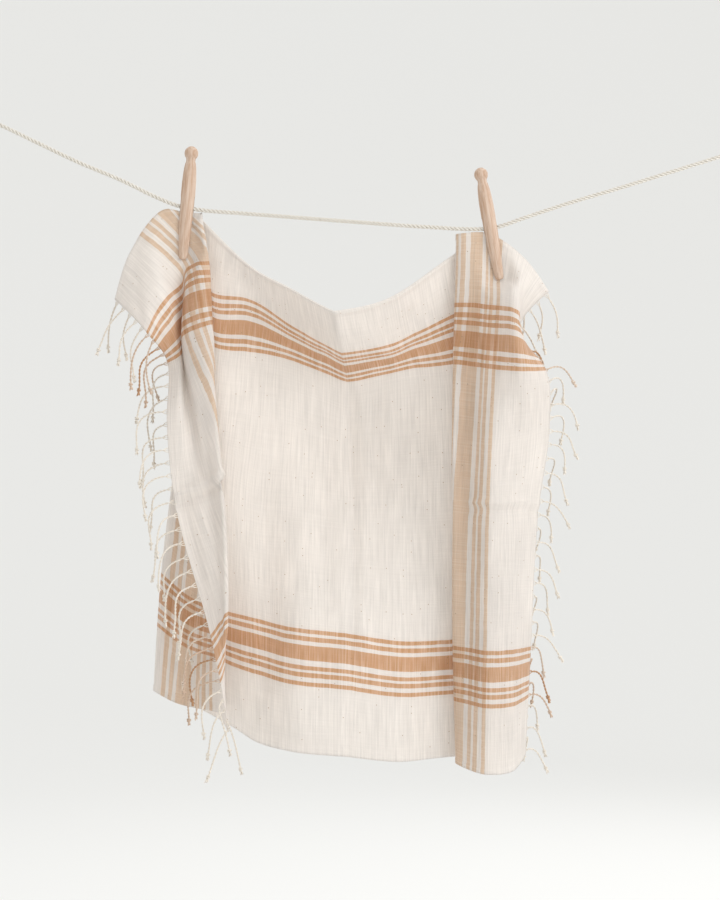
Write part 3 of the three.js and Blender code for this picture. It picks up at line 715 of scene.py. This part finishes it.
def towel_cotton_material():
    """The towel's cotton, with its bands, slubs, flecks and raised threads."""
    material, tree, shader = new_material("slub cotton, handwoven")
    place = add_node(tree, "ShaderNodeUVMap", uv_map="UVMap").outputs["UV"]
    wander = add_node(tree, "ShaderNodeTexNoise", {"Vector": place, "Scale": 60.0, "Detail": 2.0})
    shift = add_node(tree, "ShaderNodeVectorMath", {
        0: wander.outputs["Color"],
        1: (0.5, 0.5, 0.5),
    }, operation="SUBTRACT")
    small = add_node(tree, "ShaderNodeVectorMath", {
        0: shift.outputs["Vector"],
        1: (2 * BAND_WANDER, 2 * BAND_WANDER, 0),
    }, operation="MULTIPLY")
    moved = add_node(tree, "ShaderNodeVectorMath", {
        0: place,
        1: small.outputs["Vector"],
    }, operation="ADD")
    parts = add_node(tree, "ShaderNodeSeparateXYZ", {"Vector": moved.outputs["Vector"]})
    upright_band = band_mask(tree, parts.outputs["X"], CLOTH_LENGTH)
    level_band = band_mask(tree, parts.outputs["Y"], CLOTH_WIDTH, LOWER_BANDS_IN)

    upright_yarn = streaks(tree, place, SLUB_LENGTH, THREAD_WIDTH, 3.0)
    level_yarn = streaks(tree, place, THREAD_WIDTH, SLUB_LENGTH, 3.0)
    thick_yarn = streaks(tree, place, *THICK_YARN)
    cloud = streaks(tree, place, *CLOUD)
    level_share = yarn_cover(tree, level_band, upright_yarn, 0.7)
    crossed = add_node(tree, "ShaderNodeMapRange", {
        "Value": level_band,
        "To Min": 1.0,
        "To Max": 0.7,
    })
    upright_share = add_node(tree, "ShaderNodeMath", {
        0: yarn_cover(tree, upright_band, level_yarn, 0.75),
        1: crossed.outputs["Result"],
    }, operation="MULTIPLY")
    colour = dyed(tree, level_share, TAN_LEVEL, linear(CREAM))
    colour = dyed(tree, upright_share.outputs[0], TAN_UPRIGHT, colour)

    tone = 1.0
    for uneven, low, high, dark, light in (
        (upright_yarn, 0.3, 0.7, 0.9, 1.05),
        (level_yarn, 0.3, 0.7, 0.975, 1.015),
        (thick_yarn, 0.35, 0.65, 0.985, 1.01),
        (cloud, 0.3, 0.7, 0.985, 1.015),
    ):
        own = add_node(tree, "ShaderNodeMapRange", {
            "Value": uneven,
            "From Min": low,
            "From Max": high,
            "To Min": dark,
            "To Max": light,
        })
        tone = add_node(tree, "ShaderNodeMath", {
            0: tone,
            1: own.outputs["Result"],
        }, operation="MULTIPLY").outputs[0]
    shade = add_node(tree, "ShaderNodeMix", {"Factor": 1.0, "A": colour, "B": tone},
                     data_type="RGBA", blend_type="MULTIPLY")

    seeded = add_node(tree, "ShaderNodeVectorMath", {
        0: place,
        1: (CLOTH_LENGTH / FLECK_PITCH, CLOTH_WIDTH / FLECK_PITCH, 1),
    }, operation="MULTIPLY")
    cells = add_node(tree, "ShaderNodeTexVoronoi", {
        "Vector": seeded.outputs["Vector"],
        "Scale": 1.0,
    }, voronoi_dimensions="2D")
    chance = add_node(tree, "ShaderNodeSeparateXYZ", {"Vector": cells.outputs["Color"]})
    spot = add_node(tree, "ShaderNodeMapRange", {
        "Value": cells.outputs["Distance"],
        "From Min": FLECK_SIZE * 0.6,
        "From Max": FLECK_SIZE * 1.4,
        "To Min": 1.0,
        "To Max": 0.0,
    })
    chosen = add_node(tree, "ShaderNodeMath", {
        0: chance.outputs["X"],
        1: PLAIN_SHARE,
    }, operation="GREATER_THAN")
    fleck = add_node(tree, "ShaderNodeMath", {
        0: spot.outputs["Result"],
        1: chosen.outputs[0],
    }, operation="MULTIPLY")
    flecked = add_node(tree, "ShaderNodeMix", {
        "Factor": fleck.outputs[0],
        "A": shade.outputs["Result"],
        "B": linear(FLECK),
    }, data_type="RGBA")
    tree.links.new(flecked.outputs["Result"], shader.inputs["Base Color"])

    fine = add_node(tree, "ShaderNodeMath", {
        0: streaks(tree, place, *RELIEF, 1.0),
        1: streaks(tree, place, *reversed(RELIEF), 1.0),
    }, operation="ADD")
    height = add_node(tree, "ShaderNodeMath", {
        0: fine.outputs[0],
        1: upright_yarn,
    }, operation="ADD")
    bump = add_node(tree, "ShaderNodeBump", {
        "Height": height.outputs[0],
        "Strength": 0.5,
        "Distance": 0.00035,
    })
    tree.links.new(bump.outputs["Normal"], shader.inputs["Normal"])
    shader.inputs["Roughness"].default_value = 0.95
    shader.inputs["Sheen Weight"].default_value = 0.3
    shader.inputs["Sheen Roughness"].default_value = 0.6
    through = add_node(tree, "ShaderNodeBsdfTranslucent", {
        "Color": flecked.outputs["Result"],
        "Normal": bump.outputs["Normal"],
    })
    mix = add_node(tree, "ShaderNodeMixShader", {
        0: TRANSLUCENCY,
        1: shader.outputs["BSDF"],
        2: through.outputs["BSDF"],
    })
    output = next(node for node in tree.nodes if node.type == "OUTPUT_MATERIAL")
    tree.links.new(mix.outputs["Shader"], output.inputs["Surface"])
    return material


points, places = cloth_grid()
points = points + grid_normals(points) * crease_rise(places)[:, :, None]
rows = cloth_rows()
in_hem = (rows <= HEM_WIDTH) | (rows >= CLOTH_WIDTH - HEM_WIDTH)
thickness = np.where(in_hem, HEM_THICKNESS, CLOTH_THICKNESS)
towel = bpy.data.objects.new("towel_cloth", sheet_mesh("towel_cloth", points, places, thickness))
bpy.context.collection.objects.link(towel)
towel.data.materials.append(towel_cotton_material())
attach(towel, "root")
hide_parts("towel")


# The fringes: the warp ends at both fringed ends, gathered from the cloth's edge in small groups,
# twisted in twos and tied in an overhand knot, with a short tuft of loose yarn below it.
STRAND_COUNT = 40
STRAND_DIAMETER = 2.1
STRAND_LAY = 7
STRAND_SIDES = 6
STRAND_PITCH = 0.9
STRAND_END_INSET = 4
STRAND_FALL = 0.7              # share of a strand over which it turns down
STRAND_LANES = (0, 1, -0.5, 0.5, -1)    # neighbours lean back and forward in turn
STRAND_SPREAD = 0.4
STRAND_SWAY = 0.1
STRAND_WAVE = 0.15             # how far a strand swings to one side and back on its way down
STRAND_STEPS = 8
ROOT_GAP = 0.5
EDGE_POINTS = 25
EDGE_REACH = {1: 1 / 2, -1: 1 / 3}      # of the way to the next fold line, to tell which way is out
TUFT_LENGTH = 5
TUFT_YARNS = 7
TUFT_SPREAD = 1.2
TUFT_START = 0.5               # from the knot's middle to a yarn where it leaves the knot
YARN_POINTS = 6
KNOT_TURNS = 1.8
KNOT_LENGTH = 2.8
KNOT_REACH = 1.4               # from the strand's line to the middle of the turned strand
KNOT_SIDE = (0.3, 1, 0.2)      # which way the knots face
KNOT_STEPS = 22
KNOT_RAMP = 5                  # the turned strand leaves its line over one in this many of it
KNOT_PAST = (0.8, 1.8)         # where the strand's end lies past its knot
ROOT_YARNS = 3
ROOT_WIDTH = 4                 # of the cloth's edge that the yarns of one strand leave
ROOT_LENGTH = 5                # from the edge to where they are one strand
ROOT_INSIDE = 0.8
ROOT_OUTSIDE = 1.5
ROOT_ASIDE = 0.4
ROOT_STEP = 1.2
YARN_DIAMETER = 0.9
YARN_SIDES = 5
YARN_PITCH = 1.5
FRINGES = [
    dict(name="fringe_left", outward=-1, seed=142,
         length=[46, 52, 58, 58, 58, 58, 60],
         droop=[1, 1, 1, 1, 1, 1, 1]),
    dict(name="fringe_right", outward=1, seed=24,
         length=[46, 46, 46, 46, 44, 42, 42],
         droop=[0.8, 0.85, 0.85, 0.85, 0.85, 0.85, 0.85]),
]


def scatter(number):
    """A number from 0 to 1 that looks random and is the same each time."""
    wave = math.sin(number * 12.9898) * 43758.5453
    return wave - math.floor(wave)


def unit(vector):
    """The vector at length 1."""
    return vector / np.linalg.norm(vector)


def fringe_edge(outward):
    """The fringed edge at levels down the cloth: its points, and the way straight out from each."""
    inner = HEM_WIDTH + 1
    middle = np.linspace(inner, CLOTH_WIDTH - inner, EDGE_POINTS)
    levels = [0, HEM_WIDTH, *middle, CLOTH_WIDTH - HEM_WIDTH, CLOTH_WIDTH]
    ends = []
    chords = []
    for level in levels:
        places, points_at = section_at(level)
        last, before = (places[-1], places[-2]) if outward > 0 else (places[0], places[1])
        end, inside = points_at([last, last + (before - last) * EDGE_REACH[outward]])
        ends.append(end)
        chords.append(end - inside)
    outs = []
    for i, chord in enumerate(chords):
        along = unit(ends[min(i + 1, len(ends) - 1)] - ends[max(i - 1, 0)])
        outs.append(unit(chord - along * chord.dot(along)))
    return np.array(levels), np.array(ends), np.array(outs)


def edge_at(edge, level):
    """The fringed edge at any level: its point, the way out and the way the cloth faces."""
    levels, ends, outs = edge
    i = int(np.clip(np.searchsorted(levels, level, side="right"), 1, len(levels) - 1))
    share = (level - levels[i - 1]) / (levels[i] - levels[i - 1])
    point = ends[i - 1] + (ends[i] - ends[i - 1]) * share
    out = unit(outs[i - 1] + (outs[i] - outs[i - 1]) * share)
    return point, out, unit(np.cross(out, ends[i] - ends[i - 1]))


def strand_path(fringe, edge, index):
    """The middle of one strand from the cloth's edge to the tip of its tuft, and its level."""
    share = index / (STRAND_COUNT - 1)
    level = STRAND_END_INSET + (CLOTH_WIDTH - 2 * STRAND_END_INSET) * share
    point, out, face = edge_at(edge, level)
    along = np.cross(out, face)
    seed = index + fringe["seed"]
    chances = [scatter(seed + STRAND_COUNT * kind) - 0.5 for kind in range(6)]
    length = float(curve_through(LEVELS, fringe["length"])(level)) * (1 + 0.2 * chances[1])
    droop = float(curve_through(LEVELS, fringe["droop"])(level)) + 0.1 * chances[2]
    lean = STRAND_SPREAD * STRAND_LANES[index % len(STRAND_LANES)] + STRAND_SWAY * chances[4]
    down = np.array([0, 0, -1])
    place = point + out * (ROOT_GAP + STRAND_DIAMETER / 2)
    path = [place]
    for step in range(STRAND_STEPS):
        share = (step + 0.5) / STRAND_STEPS
        turned = droop * float(smooth_step(share / STRAND_FALL))
        wave = STRAND_WAVE * math.sin(2 * math.pi * (share + chances[5]))
        way = out * (1 - turned + wave) + down * turned + along * STRAND_SWAY * chances[3]
        way = way + face * lean
        place = place + unit(way) * length / STRAND_STEPS
        path.append(place)
    return smooth_route(path, 1.0), level


def tan_share(level):
    """How much of the yarn within reach of a level is tan, from 0 to 1."""
    near = min(level, CLOTH_WIDTH - level)
    reach = CLOTH_WIDTH / STRAND_COUNT / 2
    overlap = 0
    for start, end in BANDS:
        overlap += max(0, min(end, near + reach) - max(start, near - reach))
    return overlap / (2 * reach)


def knotted(path):
    """The strand's path with an overhand turn before its tuft."""
    at = len(path) - 1 - TUFT_LENGTH
    way = unit(path[at + 1] - path[at - 1])
    side = unit(np.cross(way, KNOT_SIDE))
    up = np.cross(way, side)
    turn = []
    for share in np.linspace(0, 1, KNOT_STEPS):
        angle = share * KNOT_TURNS * 2 * math.pi
        reach = KNOT_REACH * min(1, share * KNOT_RAMP, (1 - share) * KNOT_RAMP)
        around = (side * math.cos(angle) + up * math.sin(angle)) * reach
        turn.append(path[at] + way * (share - 0.5) * KNOT_LENGTH + around)
    ends = [path[at] + way * (KNOT_LENGTH / 2 + past) for past in KNOT_PAST]
    return np.array([*path[ROOT_LENGTH:at - 1], *turn, *ends])


def tuft_paths(path, index):
    """The loose yarns below the knot, a little apart and uneven."""
    start = path[len(path) - TUFT_LENGTH]
    way = unit(path[-1] - start)
    side = unit(np.cross(way, KNOT_SIDE))
    up = np.cross(way, side)
    paths = []
    for yarn in range(TUFT_YARNS):
        angle = 2 * math.pi * (yarn + scatter(index * 9.7 + yarn)) / TUFT_YARNS
        apart = side * math.cos(angle) + up * math.sin(angle)
        reach = TUFT_LENGTH * (0.6 + 0.4 * scatter(index * 5.3 + yarn * 3.1))
        spread = TUFT_SPREAD * scatter(index + yarn * 7.9)
        paths.append([
            start + way * reach * share
            + apart * (TUFT_START + spread * share) * min(1, share * 4)
            for share in np.linspace(0, 1, YARN_POINTS)
        ])
    return paths


def root_paths(edge, path, level):
    """The yarns that leave the cloth close together and gather into the strand."""
    paths = []
    levels = []
    for yarn in range(ROOT_YARNS):
        offset = (yarn / (ROOT_YARNS - 1) - 0.5) * ROOT_WIDTH
        own = float(np.clip(level + offset, 1, CLOTH_WIDTH - 1))
        point, out, face = edge_at(edge, own)
        aside = face * ROOT_ASIDE * (1 if yarn % 2 else -1)
        leaving = [point - out * ROOT_INSIDE, point + out * ROOT_OUTSIDE]
        meeting = [path[ROOT_LENGTH - 1] + aside, path[ROOT_LENGTH + 2]]
        paths.append(smooth_route(leaving + meeting, ROOT_STEP))
        levels.append(own)
    return paths, levels


def joined(name, pieces):
    """One object made of several."""
    with bpy.context.temp_override(active_object=pieces[0], selected_editable_objects=pieces):
        bpy.ops.object.join()
    pieces[0].name = name
    return pieces[0]


TAN_STRAND = "#cb9a6c"


def fringe_cotton_material():
    """The fringe's yarn: cream, or tan where it continues a band of the cloth."""
    material = cotton_yarn("fringe cotton, twisted", ("#e2d7c8", "#fcf6ec"), 0.003, 0.00025)
    tree = material.node_tree
    shader = next(node for node in tree.nodes if node.type == "BSDF_PRINCIPLED")
    cream = shader.inputs["Base Color"].links[0].from_socket
    dye = add_node(tree, "ShaderNodeAttribute", attribute_name="dye")
    tree.links.new(dyed(tree, dye.outputs["Fac"], TAN_STRAND, cream), shader.inputs["Base Color"])
    return material


fringe_cotton = fringe_cotton_material()
for fringe in FRINGES:
    edge = fringe_edge(fringe["outward"])
    strands = []
    strand_dyes = []
    yarns = []
    yarn_dyes = []
    for index in range(STRAND_COUNT):
        path, level = strand_path(fringe, edge, index)
        dye = tan_share(level)
        strands.append(knotted(path))
        strand_dyes.append(dye)
        tuft = tuft_paths(path, index)
        yarns.extend(tuft)
        yarn_dyes.extend([dye] * len(tuft))
        roots, root_levels = root_paths(edge, path, level)
        yarns.extend(roots)
        yarn_dyes.extend(tan_share(own) for own in root_levels)
    twisted = twisted_cord("twisted", strands, STRAND_DIAMETER, 2, STRAND_LAY, STRAND_SIDES,
                           STRAND_PITCH, fringe_cotton, strand_dyes)
    loose = twisted_cord("loose", yarns, YARN_DIAMETER, 1, STRAND_LAY, YARN_SIDES,
                         YARN_PITCH, fringe_cotton, yarn_dyes)
    piece = joined(fringe["name"] + "_strands", [twisted, loose])
    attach(piece, "root")
    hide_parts(fringe["name"])


# The pegs: each is turned from one stick of beech, with a ball head and a sawn slot that is open
# below. Its two legs straddle the rope and the cloth on it.
PEG_ABOVE_LINE = 58
PEG_SIDES = 72
SLOT_WIDTH = 5
SLOT_ABOVE_LINE = 11
SLOT_HALF_LENGTH = 0.012       # metres from the peg's middle to each side, past its surface
SLOT_PAST_FOOT = 5
SLOT_ARC_STEPS = 20
PEG_OUTLINE = [                # below the top, radius
    (0, 0), (0.25, 1.6), (0.9, 3.1), (2.6, 5), (4.4, 6.1), (6.4, 6.5), (8.3, 6.3), (10, 5.7),
    (11.3, 4.8), (12.4, 4.3), (14.2, 4.3), (15.4, 4.65), (17, 5.1), (20, 5.6), (24, 6), (29, 6.35),
    (34, 6.6), (48, 6.75), (62, 6.7), (74, 6.4), (84, 6), (94, 5.5), (103, 4.9), (105, 4.6),
    (106, 4.2), (106.7, 3.6), (107, 3), (107, 0),
]


def lathe_mesh(name, outline, sides, top):
    """A closed solid turned around the upright axis from its outline."""
    body = bmesh.new()
    rings = []
    for below, radius in outline:
        height = top - below
        if radius == 0:
            rings.append([body.verts.new((0, 0, height * MM))])
            continue
        angles = [2 * math.pi * side / sides for side in range(sides)]
        reach = radius * MM
        rings.append([
            body.verts.new((reach * math.cos(a), reach * math.sin(a), height * MM)) for a in angles
        ])
    for upper, lower in zip(rings, rings[1:]):
        for side in range(sides):
            after = (side + 1) % sides
            if len(upper) == 1:
                body.faces.new((upper[0], lower[side], lower[after]))
            elif len(lower) == 1:
                body.faces.new((upper[side], lower[0], upper[after]))
            else:
                body.faces.new((upper[side], lower[side], lower[after], upper[after]))
    bmesh.ops.recalc_face_normals(body, faces=body.faces)
    mesh = bpy.data.meshes.new(name)
    body.to_mesh(mesh)
    body.free()
    return mesh


def slot_mesh():
    """What the saw takes out: a slot with a round upper end, through the peg from side to side."""
    half = SLOT_WIDTH / 2
    arc = [math.pi * step / SLOT_ARC_STEPS for step in range(SLOT_ARC_STEPS + 1)]
    foot = -PEG_BELOW_LINE - SLOT_PAST_FOOT
    outline = [(-half, foot), (half, foot)]
    outline += [(half * math.cos(a), SLOT_ABOVE_LINE - half + half * math.sin(a)) for a in arc]
    body = bmesh.new()
    left = [body.verts.new((-SLOT_HALF_LENGTH, y * MM, z * MM)) for y, z in outline]
    right = [body.verts.new((SLOT_HALF_LENGTH, y * MM, z * MM)) for y, z in outline]
    body.faces.new(left)
    body.faces.new(right[::-1])
    for i in range(len(outline)):
        j = (i + 1) % len(outline)
        body.faces.new((left[i], right[i], right[j], left[j]))
    bmesh.ops.recalc_face_normals(body, faces=body.faces)
    mesh = bpy.data.meshes.new("slot")
    body.to_mesh(mesh)
    body.free()
    return mesh


def peg_beech_material(peg):
    """Beech, sanded and bare: pale pink brown, with fine grain and short flecks along the peg."""
    material, tree, shader = new_material("beech, sanded " + peg["name"])
    place = add_node(tree, "ShaderNodeTexCoord").outputs["Object"]
    centred = add_node(tree, "ShaderNodeVectorMath", {
        0: place,
        1: (-peg["right"] * MM, 0, -peg["up"] * MM),
    }, operation="ADD")
    upright = add_node(tree, "ShaderNodeVectorRotate", {
        "Vector": centred.outputs["Vector"],
        "Angle": math.radians(-peg["lean"]),
    }, rotation_type="Y_AXIS")
    drawn = add_node(tree, "ShaderNodeVectorMath", {
        0: upright.outputs["Vector"],
        1: (1, 1, 0.06),
    }, operation="MULTIPLY")
    grain = add_node(tree, "ShaderNodeTexNoise", {
        "Vector": drawn.outputs["Vector"],
        "Scale": 520.0,
        "Detail": 5.0,
        "Roughness": 0.55,
    })
    fleck = add_node(tree, "ShaderNodeTexNoise", {
        "Vector": drawn.outputs["Vector"],
        "Scale": 2400.0,
        "Detail": 1.0,
    })
    ramp = add_node(tree, "ShaderNodeValToRGB", {"Fac": grain.outputs["Fac"]})
    ramp.color_ramp.elements[0].position = 0.32
    ramp.color_ramp.elements[0].color = linear("#b8957a")
    ramp.color_ramp.elements[1].position = 0.68
    ramp.color_ramp.elements[1].color = linear("#d8c2b0")
    dark = add_node(tree, "ShaderNodeMapRange", {
        "Value": fleck.outputs["Fac"],
        "From Min": 0.6,
        "From Max": 0.72,
        "To Min": 1.0,
        "To Max": 0.8,
    })
    colour = add_node(tree, "ShaderNodeMix", {
        "Factor": 1.0,
        "A": ramp.outputs["Color"],
        "B": dark.outputs["Result"],
    }, data_type="RGBA", blend_type="MULTIPLY")
    bump = add_node(tree, "ShaderNodeBump", {
        "Height": grain.outputs["Fac"],
        "Strength": 0.25,
        "Distance": 0.0003,
    })
    rough = add_node(tree, "ShaderNodeMapRange", {
        "Value": grain.outputs["Fac"],
        "To Min": 0.62,
        "To Max": 0.5,
    })
    tree.links.new(colour.outputs["Result"], shader.inputs["Base Color"])
    tree.links.new(bump.outputs["Normal"], shader.inputs["Normal"])
    tree.links.new(rough.outputs["Result"], shader.inputs["Roughness"])
    return material


for peg in PEGS:
    blank = lathe_mesh("peg", PEG_OUTLINE, PEG_SIDES, PEG_ABOVE_LINE)
    draft = bpy.data.objects.new("peg draft", blank)
    cutter = bpy.data.objects.new("slot", slot_mesh())
    bpy.context.collection.objects.link(draft)
    bpy.context.collection.objects.link(cutter)
    cut = draft.modifiers.new("slot", "BOOLEAN")
    cut.object = cutter
    cut.solver = "EXACT"
    eased = draft.modifiers.new("eased edges", "BEVEL")
    eased.width = 0.35 * MM
    eased.segments = 2
    eased.limit_method = "ANGLE"
    eased.angle_limit = math.radians(45)
    finished = draft.evaluated_get(bpy.context.evaluated_depsgraph_get())
    turned = bpy.data.meshes.new_from_object(finished)
    bpy.data.objects.remove(draft)
    bpy.data.objects.remove(cutter)
    lean = Matrix.Rotation(math.radians(peg["lean"]), 4, "Y")
    turned.transform(Matrix.Translation((peg["right"] * MM, 0, peg["up"] * MM)) @ lean)
    turned.shade_smooth()
    turned.set_sharp_from_angle(angle=math.radians(35))
    piece = bpy.data.objects.new(peg["name"] + "_wood", turned)
    bpy.context.collection.objects.link(piece)
    turned.materials.clear()
    turned.materials.append(peg_beech_material(peg))
    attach(piece, "root")
    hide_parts(peg["name"])


# The room around it: a round pale floor that sweeps up into a pale wall on every side, and large
# soft lights. The paper of the floor and wall keeps no light from the towel.
FLOOR_LEVEL = -1.1
ROOM_RADIUS = 6.0
ROOM_TOP = 5.0
ROOM_SIDES = 96
SWEEP = 3.0
SWEEP_STEPS = 16


def backdrop():
    """One smooth bowl from the middle of the floor up to the top of the wall."""
    profile = [(0, FLOOR_LEVEL)]
    for step in range(SWEEP_STEPS + 1):
        angle = math.pi / 2 * step / SWEEP_STEPS
        away = ROOM_RADIUS - SWEEP + SWEEP * math.sin(angle)
        profile.append((away, FLOOR_LEVEL + SWEEP * (1 - math.cos(angle))))
    profile.append((ROOM_RADIUS, ROOM_TOP))
    middle = VIEW_MIDDLE[0] * MM
    corners = [(middle, 0, FLOOR_LEVEL)]
    for away, height in profile[1:]:
        for side in range(ROOM_SIDES):
            turn = 2 * math.pi * side / ROOM_SIDES
            corners.append((middle + away * math.cos(turn), away * math.sin(turn), height))
    faces = []
    for side in range(ROOM_SIDES):
        after = (side + 1) % ROOM_SIDES
        faces.append((0, 1 + side, 1 + after))
        for ring in range(len(profile) - 2):
            inner = 1 + ring * ROOM_SIDES
            outer = inner + ROOM_SIDES
            faces.append((inner + side, outer + side, outer + after, inner + after))
    mesh = bpy.data.meshes.new("backdrop")
    mesh.from_pydata(corners, [], faces)
    mesh.polygons.foreach_set("use_smooth", [True] * len(faces))
    piece = bpy.data.objects.new("backdrop", mesh)
    bpy.context.collection.objects.link(piece)
    material, _, shader = new_material("matt paper")
    shader.inputs["Base Color"].default_value = linear("#f1f1f0")
    shader.inputs["Roughness"].default_value = 0.95
    mesh.materials.append(material)
    piece.visible_diffuse = False
    piece.visible_transmission = False
    piece.visible_shadow = False
    return piece


backdrop()


MIDDLE = (0.36, 0, -0.35)


def soft_light(name, place, size, power):
    """A square white soft box that faces the towel's middle and isn't seen itself."""
    data = bpy.data.lights.new(name, "AREA")
    data.shape = "SQUARE"
    data.size = size
    data.energy = power
    lamp = bpy.data.objects.new(name, data)
    lamp.location = place
    lamp.rotation_euler = (Vector(MIDDLE) - Vector(place)).to_track_quat("-Z", "Y").to_euler()
    lamp.visible_camera = False
    bpy.context.collection.objects.link(lamp)


soft_light("key", (2.4, -1.6, 0.4), 1.7, 30)
soft_light("above", (0.8, 0.2, 1.9), 1.6, 7)
soft_light("window behind", (1.3, 2.2, 0.7), 1.6, 9)
world = bpy.data.worlds.new("room")
world.use_nodes = True
daylight = world.node_tree.nodes["Background"]
daylight.inputs["Color"].default_value = linear("#f4f4f2")
daylight.inputs["Strength"].default_value = 0.97
bpy.context.scene.world = world
bpy.context.scene.view_settings.view_transform = "Standard"

bpy.context.view_layer.update()
